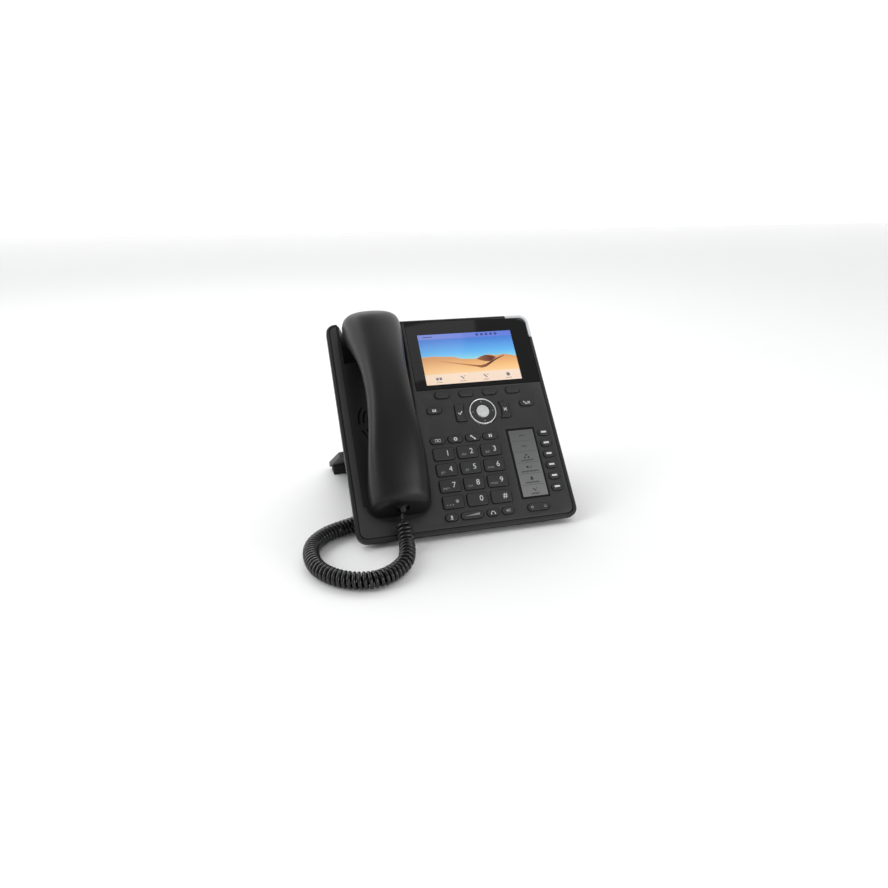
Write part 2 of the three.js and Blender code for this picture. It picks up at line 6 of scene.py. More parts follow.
import bmesh
import bpy
from mathutils import Matrix, Vector
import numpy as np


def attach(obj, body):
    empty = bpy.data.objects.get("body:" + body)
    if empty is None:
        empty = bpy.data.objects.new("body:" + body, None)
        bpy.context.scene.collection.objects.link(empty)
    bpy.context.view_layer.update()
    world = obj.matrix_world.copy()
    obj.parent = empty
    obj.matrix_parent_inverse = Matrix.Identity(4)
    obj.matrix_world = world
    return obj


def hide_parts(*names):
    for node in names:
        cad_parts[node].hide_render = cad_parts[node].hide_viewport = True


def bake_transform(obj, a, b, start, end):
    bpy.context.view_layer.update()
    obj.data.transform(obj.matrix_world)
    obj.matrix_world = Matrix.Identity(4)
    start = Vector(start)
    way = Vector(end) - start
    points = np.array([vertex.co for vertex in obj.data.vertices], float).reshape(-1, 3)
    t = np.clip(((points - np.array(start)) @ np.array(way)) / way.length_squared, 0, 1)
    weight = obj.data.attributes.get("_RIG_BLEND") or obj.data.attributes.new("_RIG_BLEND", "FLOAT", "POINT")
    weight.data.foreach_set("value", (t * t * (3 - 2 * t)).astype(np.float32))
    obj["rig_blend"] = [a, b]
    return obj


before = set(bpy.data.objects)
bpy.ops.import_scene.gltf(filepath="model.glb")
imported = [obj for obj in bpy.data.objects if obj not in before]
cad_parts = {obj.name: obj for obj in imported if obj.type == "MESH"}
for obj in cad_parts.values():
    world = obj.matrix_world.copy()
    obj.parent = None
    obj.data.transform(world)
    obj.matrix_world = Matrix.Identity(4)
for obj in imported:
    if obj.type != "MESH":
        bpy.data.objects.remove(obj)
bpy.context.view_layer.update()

MM = 0.001
TILT = math.radians(48.2)                # the face's angle from the table
FACE_FOOT = Vector((0, -97, 6))          # the middle of the face's lower edge
FACE = Matrix.Scale(MM, 4) @ Matrix.Translation(FACE_FOOT) @ Matrix.Rotation(TILT, 4, "X")

FLANGE_REACH = 0.8                       # a key's hidden flange stands out this far round its cap
KEY_GAP = 0.5                            # round a key in its opening
KEY_TOP = 1.1
PRINT = 0.05                             # thickness that printed ink is drawn with


# ---------- frame ----------
def face_box(name):
    """A CAD node's lowest and highest u, v and w."""
    to_face = FACE.inverted()
    corners = [to_face @ vertex.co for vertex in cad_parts[name].data.vertices]
    low = Vector([min(corner[axis] for corner in corners) for axis in range(3)])
    high = Vector([max(corner[axis] for corner in corners) for axis in range(3)])
    return low, high


def node_middle(name):
    low, high = face_box(name)
    return (low.x + high.x) / 2, (low.y + high.y) / 2


# ---------- materials ----------
def linear(hex_colour):
    """An sRGB hex colour as linear red, green, blue and alpha."""
    parts = [int(hex_colour[start:start + 2], 16) / 255 for start in (1, 3, 5)]
    return [part / 12.92 if part <= 0.04045 else ((part + 0.055) / 1.055) ** 2.4 for part in parts] + [1]


def add_node(tree, kind, inputs=None, **settings):
    """Adds one node. An input is a value, or the output of another node."""
    made = tree.nodes.new(kind)
    for key, value in settings.items():
        setattr(made, key, value)
    for key, value in (inputs or {}).items():
        if isinstance(value, bpy.types.NodeSocket):
            tree.links.new(value, made.inputs[key])
        else:
            made.inputs[key].default_value = value
    return made


def start_material(name):
    material = bpy.data.materials.new(name)
    material.use_nodes = True
    material.node_tree.nodes.clear()
    return material, material.node_tree


def moulded(name, colour, worn, roughness, grain, depth, cloud=35, **finish):
    """A moulded plastic: grain is the texture's spacing and depth its height, in mm.

    Its tone drifts a little from colour to worn over clouds that are cloud mm across, and its gloss with it.
    """
    material, tree = start_material(name)
    place = add_node(tree, "ShaderNodeTexCoord").outputs["Object"]
    drift = add_node(tree, "ShaderNodeTexNoise", {"Vector": place, "Scale": 1 / (cloud * MM), "Detail": 4.0})
    tone = add_node(tree, "ShaderNodeMix", {"Factor": drift.outputs["Fac"], "A": linear(colour),
                                            "B": linear(worn)}, data_type="RGBA")
    gloss = add_node(tree, "ShaderNodeMapRange", {"Value": drift.outputs["Fac"], "To Min": roughness - 0.05,
                                                  "To Max": roughness + 0.05})
    pits = add_node(tree, "ShaderNodeTexNoise", {"Vector": place, "Scale": 1 / (grain * MM), "Detail": 2.0})
    bump = add_node(tree, "ShaderNodeBump", {"Height": pits.outputs["Fac"], "Distance": depth * MM,
                                             "Strength": 1.0})
    shader = add_node(tree, "ShaderNodeBsdfPrincipled", {
        "Base Color": mix_colour(tone), "Roughness": gloss.outputs["Result"],
        "Normal": bump.outputs["Normal"], **finish})
    add_node(tree, "ShaderNodeOutputMaterial", {"Surface": shader.outputs["BSDF"]})
    return material


def mix_colour(mix):
    """The colour output of a Mix node, which has one output of each kind."""
    return [socket for socket in mix.outputs if socket.type == "RGBA"][0]


def face_shade(name, origin, axis, length, stops, glow, **finish):
    """A colour that runs along the face's u or v axis from origin, through stops of (share, colour)."""
    material, tree = start_material(name)
    place = add_node(tree, "ShaderNodeTexCoord").outputs["Object"]
    turned = add_node(tree, "ShaderNodeMapping", {
        "Vector": place, "Location": FACE @ Vector(origin), "Rotation": (TILT, 0, 0),
        "Scale": (length * MM,) * 3}, vector_type="TEXTURE")
    along = add_node(tree, "ShaderNodeSeparateXYZ", {"Vector": turned.outputs["Vector"]})
    ramp = add_node(tree, "ShaderNodeValToRGB", {"Fac": along.outputs[axis]})
    while len(ramp.color_ramp.elements) < len(stops):
        ramp.color_ramp.elements.new(0.5)
    for element, (share, colour) in zip(ramp.color_ramp.elements, stops):
        element.position = share
        element.color = linear(colour)
    shader = add_node(tree, "ShaderNodeBsdfPrincipled", {
        "Base Color": ramp.outputs["Color"], "Emission Color": ramp.outputs["Color"],
        "Emission Strength": glow, **finish})
    add_node(tree, "ShaderNodeOutputMaterial", {"Surface": shader.outputs["BSDF"]})
    return material


# Spark-eroded ABS: a dry charcoal with a fine grain, drawn twice as coarse as life so that it shows.
charcoal_abs = moulded("charcoal_abs_spark_eroded", "#2b2b2b", "#303030", 0.5, 0.7, 0.035)
# The same ABS for the back shell, a shade deeper.
dark_abs = moulded("dark_abs_spark_eroded", "#1b1b1b", "#202020", 0.5, 0.8, 0.04)
# The stand's ABS, painted nearly black with the shade of the console that it lies in.
stand_painted_shade_abs = moulded("stand_painted_shade_abs_spark_eroded", "#0e0e0e", "#131313", 0.55, 0.8, 0.04)
# Key caps: a finer mould finish that catches a soft light on their edges.
key_abs = moulded("key_abs_satin", "#2c2c2c", "#313131", 0.4, 0.5, 0.015)
# The cradle's hollow: the fascia's ABS, a little duller, and painted darker with the shade that the handset
# casts into it.
cradle_painted_shade_abs = moulded("cradle_painted_shade_abs_spark_eroded", "#141414", "#181818", 0.58, 0.7, 0.035,
                     **{"Specular IOR Level": 0.35})
# Handset: satin moulded ABS, black with a long soft highlight.
handset_abs = moulded("handset_abs_satin", "#0d0d0d", "#101010", 0.4, 0.5, 0.01,
                      **{"Specular IOR Level": 0.36})
# Acrylic window, printed black from behind: deep black under a clean gloss.
window_acrylic = moulded("window_acrylic_black", "#060607", "#080809", 0.07, 30, 0.004)
# Frosted polycarbonate light guide: milky white, a little light passes through.
light_guide = moulded("polycarbonate_frosted", "#e4e7ea", "#f0f2f4", 0.28, 0.6, 0.01,
                      **{"Coat Weight": 0.4, "Transmission Weight": 0.15})
# Metallised trim: satin chrome on plastic.
chrome_trim = moulded("chrome_satin_plated", "#f4f4f5", "#fbfbfb", 0.34, 0.4, 0.004, Metallic=0.45)
# Spun aluminium face of the centre button.
aluminium = moulded("aluminium_spun", "#c6c7c8", "#ffffff", 0.34, 0.35, 0.01, cloud=3.5, Metallic=0.5)
# Moulded rubber feet: dull black with a rough skin.
rubber = moulded("rubber_moulded", "#111111", "#191919", 0.85, 0.6, 0.06)
# Silicone mat: soft grey with no gloss.
silicone = moulded("silicone_pressed", "#595b5f", "#626468", 0.75, 0.9, 0.02)
# Fibreglass board under green solder mask.
board_mask = moulded("board_solder_mask", "#1c5436", "#23613f", 0.35, 1.2, 0.02)
# Pressed steel of capsules and gimbal.
steel = moulded("steel_pressed", "#8f9193", "#a0a2a4", 0.35, 0.5, 0.006, Metallic=1.0)
# Black paper cone behind the grille.
speaker_paper = moulded("speaker_paper_black", "#0a0a0a", "#101010", 0.9, 0.8, 0.05)
# Extruded soft PVC of the curly cord: smooth glossy black.
cord_pvc = moulded("cord_pvc_extruded", "#0c0c0d", "#121213", 0.27, 1.5, 0.01)
# White screen-printing ink on the keys.
white_ink = moulded("ink_white_printed", "#d6d8da", "#e2e4e6", 0.5, 0.6, 0.004)
# Thinner grey ink of the letters beside the digits.
grey_ink = moulded("ink_grey_printed", "#8c8e90", "#999b9d", 0.5, 0.6, 0.004)


# ---------- making pieces ----------
def link_object(name, data):
    made = bpy.data.objects.new(name, data)
    bpy.context.scene.collection.objects.link(made)
    return made


def as_object(bm, name):
    """A finished bmesh as an object; the bmesh is used up."""
    mesh = bpy.data.meshes.new(name)
    bm.to_mesh(mesh)
    bm.free()
    return link_object(name, mesh)


def add_piece(bm, name, material, place=FACE, smooth_angle=35):
    """Puts a finished bmesh in place as an object at the origin. smooth_angle None keeps it flat."""
    bm.transform(place)
    piece = as_object(bm, name)
    piece.data.materials.append(material)
    if smooth_angle is not None:
        piece.data.shade_smooth()
        piece.data.set_sharp_from_angle(angle=math.radians(smooth_angle))
    return piece


def fit(piece, body, slot, *nodes):
    """Fixes a piece to a body and hides the CAD nodes that it stands for. slot is not used."""
    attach(piece, body)
    if nodes:
        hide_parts(*nodes)
    return piece


def arc(u, v, radius, start, end, steps=6):
    """Points on an arc, from start to end degrees."""
    angles = [math.radians(start + (end - start) * step / steps) for step in range(steps + 1)]
    return [(u + radius * math.cos(angle), v + radius * math.sin(angle)) for angle in angles]


def rounded(width, height, radius, u=0, v=0, steps=6):
    """The outline of a rectangle with round corners, anticlockwise."""
    right = width / 2 - radius
    top = height / 2 - radius
    outline = []
    for side, end, start in ((1, -1, -90), (1, 1, 0), (-1, 1, 90), (-1, -1, 180)):
        outline += arc(u + side * right, v + end * top, radius, start, start + 90, steps)
    return outline


def outline_edges(bm, outline, level):
    """One closed loop of edges through the outline's points at height level."""
    corners = [bm.verts.new((u, v, level)) for u, v in outline]
    return [bm.edges.new((corner, corners[index - 1])) for index, corner in enumerate(corners)]


def plate(outline, low, high, edge=0.0, openings=(), opening_edge=0.0, segments=2):
    """A plate with openings, its upper edges rounded by edge and by opening_edge."""
    bm = bmesh.new()
    outer = set(outline_edges(bm, outline, low))
    inner = [side for opening in openings for side in outline_edges(bm, opening, low)]
    bmesh.ops.triangle_fill(bm, use_beauty=True, use_dissolve=False, edges=list(outer) + inner,
                            normal=(0, 0, 1))
    base = bm.faces[:]
    for face in base:
        if face.normal.z > 0:
            face.normal_flip()
    lifted = bmesh.ops.extrude_face_region(bm, geom=base, use_keep_orig=True)["geom"]
    bmesh.ops.translate(bm, verts=[item for item in lifted if isinstance(item, bmesh.types.BMVert)],
                        vec=(0, 0, high - low))
    bmesh.ops.recalc_face_normals(bm, faces=bm.faces[:])
    middle = (low + high) / 2

    def rim(chosen):
        found = []
        for side in chosen:
            for corner in side.verts:
                found += [other for other in corner.link_edges if other.other_vert(corner).co.z > middle]
        tops = {vert for side in found for vert in side.verts if vert.co.z > middle}
        return [side for side in bm.edges if side.verts[0] in tops and side.verts[1] in tops
                and any(face.normal.z < 0.5 for face in side.link_faces)]

    outer_rim = rim(outer) if edge else []
    inner_rim = rim(inner) if opening_edge and inner else []
    if outer_rim:
        bmesh.ops.bevel(bm, geom=outer_rim, offset=edge, segments=segments, profile=0.5, affect="EDGES",
                        material=-1, clamp_overlap=False)
    if inner_rim:
        inner_rim = [side for side in inner_rim if side.is_valid]
        bmesh.ops.bevel(bm, geom=inner_rim, offset=opening_edge, segments=segments, profile=0.5,
                        affect="EDGES", material=-1, clamp_overlap=False)
    return bm


def turned(profile, u, v, steps=64):
    """A body turned round an axis out of the face, from a closed profile of (radius, w)."""
    bm = bmesh.new()
    points = [bm.verts.new((radius, 0, w)) for radius, w in profile]
    sides = [bm.edges.new((point, points[index - 1])) for index, point in enumerate(points)]
    bmesh.ops.spin(bm, geom=points + sides, cent=(0, 0, 0), axis=(0, 0, 1), dvec=(0, 0, 0),
                   angle=math.tau, steps=steps, use_merge=True)
    bmesh.ops.remove_doubles(bm, verts=bm.verts[:], dist=0.001)
    bmesh.ops.dissolve_degenerate(bm, edges=bm.edges[:], dist=0.0005)
    bmesh.ops.recalc_face_normals(bm, faces=bm.faces[:])
    bmesh.ops.translate(bm, verts=bm.verts[:], vec=(u, v, 0))
    return bm


def softened(name, material, edge, slot, body="console", segments=2, angle=30):
    """A copy of a CAD node with its moulded edges rounded."""
    bm = bmesh.new()
    bm.from_mesh(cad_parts[name].data)
    bmesh.ops.remove_doubles(bm, verts=bm.verts[:], dist=2e-6)
    bmesh.ops.dissolve_limit(bm, angle_limit=math.radians(0.8), verts=bm.verts[:], edges=bm.edges[:])
    sharp = [side for side in bm.edges if side.is_manifold and side.calc_face_angle() > math.radians(angle)]
    bmesh.ops.bevel(bm, geom=sharp, offset=edge * MM, segments=segments, profile=0.5, affect="EDGES",
                    material=-1, clamp_overlap=True)
    piece = add_piece(bm, name + "_moulding", material, Matrix.Identity(4), 40)
    return fit(piece, body, slot, name)


def lettering(text, size, u, v, level, name, material, body, slot="key_plastic"):
    """Printed characters, centred on u and v."""
    curve = bpy.data.curves.new(name, "FONT")
    curve.body = text
    curve.size = size
    curve.align_x = "CENTER"
    curve.align_y = "CENTER"
    curve.resolution_u = 3
    curve.extrude = PRINT / 2
    letters = link_object(name + "_letters", curve)
    bpy.context.view_layer.update()
    bm = bmesh.new()
    bm.from_mesh(letters.to_mesh())
    letters.to_mesh_clear()
    bpy.data.objects.remove(letters)
    bmesh.ops.remove_doubles(bm, verts=bm.verts[:], dist=0.001)
    bmesh.ops.translate(bm, verts=bm.verts[:], vec=(u, v, level + PRINT / 2))
    return fit(add_piece(bm, name, material, smooth_angle=None), body, slot)


def refinish(name, material):
    """Another finish for a CAD node that keeps its shape."""
    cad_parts[name].data.materials.clear()
    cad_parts[name].data.materials.append(material)


# ---------- camera, floor and light ----------
def add_camera():
    """The camera stands to the left, in front of and above the phone."""
    data = bpy.data.cameras.new("camera")
    data.lens = 28.9
    data.sensor_width = 36
    data.clip_end = 50
    camera = link_object("camera", data)
    right = Vector((0.96010, -0.27967, 0))
    ahead = Vector((0.26256, 0.90136, -0.34441))
    up = right.cross(ahead)
    turn = Matrix((right, up, -ahead)).transposed().to_4x4()
    camera.matrix_world = Matrix.Translation(Vector((-180.0, -624.5, 289.5)) * MM) @ turn
    bpy.context.scene.camera = camera


def add_softbox(name, centre, target, width, height, power):
    data = bpy.data.lights.new(name, "AREA")
    data.shape = "RECTANGLE"
    data.size = width
    data.size_y = height
    data.energy = power
    lamp = link_object(name, data)
    aim = Vector(target) - Vector(centre)
    lamp.matrix_world = Matrix.Translation(centre) @ aim.to_track_quat("-Z", "Y").to_matrix().to_4x4()


def add_studio():
    """A pale floor that meets a lit white wall, a dim room and large soft lamps."""
    floor = bmesh.new()
    bmesh.ops.create_grid(floor, x_segments=1, y_segments=1, size=1)
    bmesh.ops.scale(floor, verts=floor.verts[:], vec=(8, 4, 1))
    paper = moulded("floor_paper", "#f8f8f8", "#fafafa", 0.9, 3, 0.0)
    add_piece(floor, "studio_floor", paper, Matrix.Identity(4))
    wall = bmesh.new()
    corners = [wall.verts.new(corner) for corner in ((-8, 4, 0), (8, 4, 0), (8, 4, 5), (-8, 4, 5))]
    wall.faces.new(corners)
    # A translucent wall lit from behind: even white.
    lit_wall = moulded("wall_paper_backlit", "#ffffff", "#ffffff", 0.9, 3, 0.0,
                       **{"Emission Color": (1, 1, 1, 1), "Emission Strength": 1.0})
    add_piece(wall, "studio_wall", lit_wall, Matrix.Identity(4))
    world = bpy.data.worlds.new("studio_room")
    world.use_nodes = True
    world.node_tree.nodes["Background"].inputs["Color"].default_value = linear("#f6f7f8")
    world.node_tree.nodes["Background"].inputs["Strength"].default_value = 0.37
    bpy.context.scene.world = world
    # Two wide lamps behind the phone, one to each side, throw its soft shadow forwards.
    for name, aside, power in (("back_left_sun", -0.8, 0.95), ("back_right_sun", 0.75, 0.85)):
        sun = bpy.data.lights.new(name, "SUN")
        sun.energy = power
        sun.angle = math.radians(60)
        lamp = link_object(name, sun)
        lamp.rotation_euler = Vector((aside, 0.42, 0.75)).to_track_quat("Z", "Y").to_euler()
    add_softbox("left_softbox", (-1.5, -0.15, 0.8), (0, 0, 0.08), 0.45, 1.3, 7)
    add_softbox("back_softbox", (-0.2, 1.1, 1.2), (0, 0, 0.1), 1.3, 0.5, 4.5)
    add_softbox("front_softbox", (0.8, -1.3, 0.3), (0, -0.1, 0.05), 0.9, 0.6, 7)
    add_softbox("window_softbox", (0.08, -0.5, 1.5), (0.08, -0.3, 0), 0.8, 0.9, 1.1)
    bpy.context.scene.view_settings.view_transform = "Standard"


# ---------- curly cord ----------
WIRE = 3.3                               # the cord's own thickness
COIL_RADIUS = 7 - WIRE / 2               # from the middle of a coil to the middle of its wire
PITCH = 3.8                              # the coil's turns nearly touch


def on_face(u, v, w):
    return (Matrix.Translation(FACE_FOOT) @ Matrix.Rotation(TILT, 4, "X")) @ Vector((u, v, w))


def on_table(x, y, z=7):
    """A point on the table, measured from under the face's lower edge."""
    return Vector((x, y + FACE_FOOT.y, z))


# From the handset, down to the table, round a wide loop on the left and in behind the housing.
upper_tail = [on_face(-61, 19.4, 9), on_face(-61.1, 16.6, 8.8)]
coil_route = [on_face(*place) for place in ((-61.2, 14.6, 8.6), (-61.3, 8, 8.8), (-61.5, 0.5, 9))]
coil_route += [on_table(*place) for place in (
    (-62.2, -13.3, 7.6), (-64.6, -25), (-69.2, -38), (-79.4, -50.5), (-94.8, -59), (-111.5, -57.6),
    (-126.4, -48.2), (-137.4, -31.5), (-140.4, -10), (-136.6, 8.5), (-125.3, 23.2), (-112, 31.4),
    (-99.5, 36.5), (-87, 44), (-77, 51))]
lower_tail = [on_table(-69, 56.6, 8), on_table(-58, 62, 12), on_table(-48, 62, 16.5),
              on_face(-44.3, 51.5, -35.3), on_face(-44, 56.4, -35)]


def between(points, share):
    """A point from the second to the third of four points, on their centripetal Catmull-Rom curve."""
    knots = [0.0]
    for first, second in zip(points, points[1:]):
        knots.append(knots[-1] + math.sqrt((second - first).length))
    at = knots[1] + (knots[2] - knots[1]) * share
    for spans in (((0, 1), (1, 2), (2, 3)), ((0, 2), (1, 3)), ((1, 2),)):
        points = [first.lerp(second, (at - knots[low]) / (knots[high] - knots[low]))
                  for first, second, (low, high) in zip(points, points[1:], spans)]
    return points[0]


def smooth_route(points, step):
    """Points a step apart along one smooth curve through the given points."""
    ends = [points[0] * 2 - points[1]] + points + [points[-1] * 2 - points[-2]]
    fine = [between(ends[index:index + 4], part / 40)
            for index in range(len(points) - 1) for part in range(40)]
    fine.append(points[-1])
    route, left = [fine[0]], step
    for first, second in zip(fine, fine[1:]):
        span = (second - first).length
        while left <= span:
            route.append(first.lerp(second, left / span))
            left += step
        left -= span
    return route


def ease(share):
    share = min(max(share, 0.0), 1.0)
    return share * share * (3 - 2 * share)


def cord_line():
    """The middle of the cord's wire, and each point's share of the handset's motion."""
    step = 0.26
    route = smooth_route(upper_tail + coil_route + lower_tail, step)
    nearest = [min(range(len(route)), key=lambda index: (route[index] - point).length)
               for point in (coil_route[0], coil_route[-1], coil_route[8])]
    coil_start, coil_end, lift_end = nearest
    wind = 6 / step                      # the wire swings out to the coil over this many points
    side = Vector((1, 0, 0))
    turn = 0.0
    line, shares = [], []
    for index, point in enumerate(route):
        ahead = (route[min(index + 1, len(route) - 1)] - route[max(index - 1, 0)]).normalized()
        side = (side - ahead * side.dot(ahead)).normalized()
        swing = ease((index - coil_start) / wind) * ease((coil_end - index) / wind)
        if swing > 0:
            # It hangs stretched between the handset and the table.
            along = (index - coil_start) * step
            hanging = ease((along - 14) / 10) * ease((64 - along) / 14)
            turn += math.tau * step / (PITCH + 1.9 * hanging)
        elif index % 6:
            continue
        out = side * math.cos(turn) + ahead.cross(side) * math.sin(turn)
        line.append(point + out * COIL_RADIUS * swing)
        shares.append(1 - ease(index / lift_end))
    return line, shares


def tube_along(line, radius, name, sides_level=2):
    """A closed round tube that follows a list of points, in metres."""
    curve = bpy.data.curves.new(name, "CURVE")
    curve.dimensions = "3D"
    curve.bevel_depth = radius * MM
    curve.bevel_resolution = sides_level
    curve.use_fill_caps = True
    spline = curve.splines.new("POLY")
    spline.points.add(len(line) - 1)
    for target, point in zip(spline.points, line):
        target.co = (*(point * MM), 1)
    guide = link_object(name + "_guide", curve)
    bpy.context.view_layer.update()
    mesh = bpy.data.meshes.new_from_object(guide)
    mesh.name = name
    bpy.data.objects.remove(guide)
    mesh.materials.clear()
    mesh.materials.append(cord_pvc)
    mesh.shade_smooth()
    return link_object(name, mesh)


def add_plug(name, node, front, back, body):
    """A modular plug: a body with a latch and a tapered relief towards the cord."""
    low, high = face_box(node)
    width = high.x - low.x
    middle = ((low.x + high.x) / 2, (low.z + high.z) / 2)
    bm = bmesh.new()
    bmesh.ops.create_cube(bm, size=1)
    bmesh.ops.scale(bm, verts=bm.verts[:], vec=(width, front, high.z - low.z))
    bmesh.ops.bevel(bm, geom=bm.edges[:], offset=0.5, segments=2, profile=0.5, affect="EDGES", material=-1,
                    clamp_overlap=True)
    bmesh.ops.translate(bm, verts=bm.verts[:], vec=(middle[0], high.y - front / 2, middle[1]))
    relief = bmesh.ops.create_cone(bm, cap_ends=True, segments=20, radius1=2.1, radius2=2.9,
                                   depth=back)["verts"]
    turn = Matrix.Translation((middle[0], high.y - front - back / 2 + 0.3, middle[1])) @ Matrix.Rotation(
        -math.pi / 2, 4, "X")
    bmesh.ops.transform(bm, verts=relief, matrix=turn)
    latch = bmesh.ops.create_cube(bm, size=1)["verts"]
    bmesh.ops.scale(bm, verts=latch, vec=(width * 0.45, front * 0.8, 0.8))
    bmesh.ops.translate(bm, verts=latch, vec=(middle[0], high.y - front / 2, low.z - 0.1))
    return fit(add_piece(bm, name, dark_abs), body, "dark_abs", node)


def add_cord():
    line, shares = cord_line()
    cord = tube_along(line, WIRE / 2, "curly_handset_cord")
    base = add_plug("base_plug_moulding", "base_plug", 12, 4, "console")
    far = add_plug("handset_plug_moulding", "handset_plug", 11, 4.6, "handset")
    foot, top = line[len(line) // 2] * MM, line[0] * MM
    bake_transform(cord, "console", "handset", start=foot, end=top)
    # The handset's pull dies away along the cord, and not along the straight line between its ends.
    ring = (len(cord.data.vertices)) // len(line)
    pull = cord.data.attributes["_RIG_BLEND"]
    for index in range(len(cord.data.vertices)):
        pull.data[index].value = shares[min(index // ring, len(line) - 1)]
    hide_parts("curly_cord")


# ---------- cutting and joining whole solids ----------
def evaluated_mesh(made):
    """The mesh that an object's modifiers give."""
    bpy.context.view_layer.update()
    return bpy.data.meshes.new_from_object(made.evaluated_get(bpy.context.evaluated_depsgraph_get()))


def combined(base, other, operation):
    """Two closed solids cut, joined or intersected; both are used up."""
    first, second = as_object(base, "base_solid"), as_object(other, "other_solid")
    cut = first.modifiers.new("cut", "BOOLEAN")
    cut.operation = operation
    cut.solver = "EXACT"
    cut.object = second
    result = bmesh.new()
    result.from_mesh(evaluated_mesh(first))
    for made in (first, second):
        bpy.data.objects.remove(made)
    return result


def merged(solids):
    """Separate solids that don't touch, in one bmesh."""
    whole = bmesh.new()
    for solid in solids:
        mesh = bpy.data.meshes.new("solid")
        solid.to_mesh(mesh)
        solid.free()
        whole.from_mesh(mesh)
        bpy.data.meshes.remove(mesh)
    return whole


# ---------- fascia ----------
HANDSET_U = -60.3
POCKET_HALF = 28.2
LAND_LEFT = -91.4                        # the cradle's hollow lies between here and land_right
LAND_BOTTOM = 32.1
FACE_TOP = 210.1
NAV = (32.84, 110.56)
NAV_OPENING = 13.75
BESIDE_RING = {"confirm_key": -1, "cancel_key": 1}
BESIDE_REACH = 22.2                      # from the ring's middle to the signs on the keys beside it
GRILLE = (-61, 112, 22.6)
WINDOW_LEFT, WINDOW_BOTTOM, FACE_SIDE = -26, 137, 97.6
LABEL_SIZE = (28.2, 69.2)


def land_right(v):
    """The hollow's right edge leans inwards towards the bottom."""
    return -33.1 + 5 * (v - LAND_BOTTOM) / (FACE_TOP - LAND_BOTTOM)


def hollow(u, v):
    """How deep the cradle's hollow is: a slow slope on its left and a short step on its right."""
    across = ease((u - LAND_LEFT) / 30) * ease((land_right(v) - u) / 4)
    return 5.2 * across * ease((v - LAND_BOTTOM) / 34)


def hollow_sheet(upper, lower):
    """A solid between two levels measured from the hollow's surface."""
    bm = bmesh.new()
    bmesh.ops.create_grid(bm, x_segments=36, y_segments=56, size=0.5)
    for vert in bm.verts:
        v = LAND_BOTTOM + (vert.co.y + 0.5) * (FACE_TOP - LAND_BOTTOM)
        u = LAND_LEFT + (vert.co.x + 0.5) * (land_right(v) - LAND_LEFT)
        vert.co = (u, v, -hollow(u, v) + lower)
    lifted = bmesh.ops.extrude_face_region(bm, geom=bm.faces[:], use_keep_orig=True)["geom"]
    for vert in (item for item in lifted if isinstance(item, bmesh.types.BMVert)):
        vert.co.z += upper - lower
    bmesh.ops.recalc_face_normals(bm, faces=bm.faces[:])
    return bm


def bowed_edge(grow=0.0):
    """The lower pocket's end, which follows the handset's, from left to right."""
    half, bottom = POCKET_HALF + grow, 15.8 - grow
    left = [(HANDSET_U - half, bottom + 16), (HANDSET_U - half, bottom + 3), (HANDSET_U - 14, bottom),
            (HANDSET_U, bottom)]
    curve = cubic_curve(left)
    return curve + [(2 * HANDSET_U - u, v) for u, v in reversed(curve[:-1])]


def cubic_curve(points, steps=12):
    """A cubic curve from its two ends and two handles."""
    found = []
    for step in range(steps + 1):
        t = step / steps
        weights = ((1 - t) ** 3, 3 * t * (1 - t) ** 2, 3 * t * t * (1 - t), t ** 3)
        found.append(tuple(sum(weight * point[axis] for weight, point in zip(weights, points))
                           for axis in range(2)))
    return found


def lower_pocket(grow, low, high):
    half, top = POCKET_HALF + grow, 58 + grow
    outline = bowed_edge(grow) + [(HANDSET_U + half, top), (HANDSET_U - half, top)]
    return plate(outline, low, high)


def upper_pocket(grow, low, high):
    """It narrows towards its floor and runs out of the face's upper edge."""
    slope = 5.2 / 14
    bm = bmesh.new()
    rings = []
    for level in (low, high):
        half = 28.6 + grow + slope * level
        bottom = 170 - grow - 1.5 * slope * level
        ring = [(HANDSET_U - half, bottom), (HANDSET_U + half, bottom), (HANDSET_U + half, 232),
                (HANDSET_U - half, 232)]
        rings.append(outline_edges(bm, ring, level))
    bmesh.ops.bridge_loops(bm, edges=rings[0] + rings[1])
    for ring in rings:
        bmesh.ops.contextual_create(bm, geom=ring)
    bmesh.ops.recalc_face_normals(bm, faces=bm.faces[:])
    return bm


def grille_slots():
    """Four rings of curved slots, the outer two in six parts and the inner two in four."""
    slots = []
    u, v, outer = GRILLE
    for ring in range(4):
        radius = outer - 4.4 * ring
        parts = 6 if ring < 2 else 4
        margin = math.degrees(3.2 / radius)
        for part in range(parts):
            start = part * 360 / parts + margin + 15
            end = (part + 1) * 360 / parts - margin + 15
            slots.append(arc(u, v, radius + 0.75, start, end, 10) + arc(u, v, radius - 0.75, end, start, 10))
    return slots


def key_outline(name, grow=0.0):
    """The outline of a key's cap, from its CAD node."""
    low, high = face_box(name)
    width = high.x - low.x - 2 * FLANGE_REACH
    height = high.y - low.y - 2 * FLANGE_REACH
    u, v = node_middle(name)
    if name in BESIDE_RING:
        return beside_ring(BESIDE_RING[name], grow)
    radius = 2 if name.startswith("dial_key") else height / 2 - 0.05
    return rounded(width + 2 * grow, height + 2 * grow, radius + grow, u, v)


def beside_ring(side, grow):
    """The keys beside the navigation ring have a hollow side that follows it."""
    reach, far, half, corner = 19 - grow, 26.5 + grow, 8.2 + grow, 1.6
    angle = math.degrees(math.asin(half / reach))
    middle = 0 if side > 0 else 180
    u, v = NAV
    far_u, rise = u + side * (far - corner), side * (half - corner)
    outline = arc(far_u, v - rise, corner, middle - 90, middle)
    outline += arc(far_u, v + rise, corner, middle, middle + 90)
    return outline + arc(u, v, reach, middle + angle, middle - angle, 12)


KEY_NAMES = sorted(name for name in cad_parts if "_key" in name)


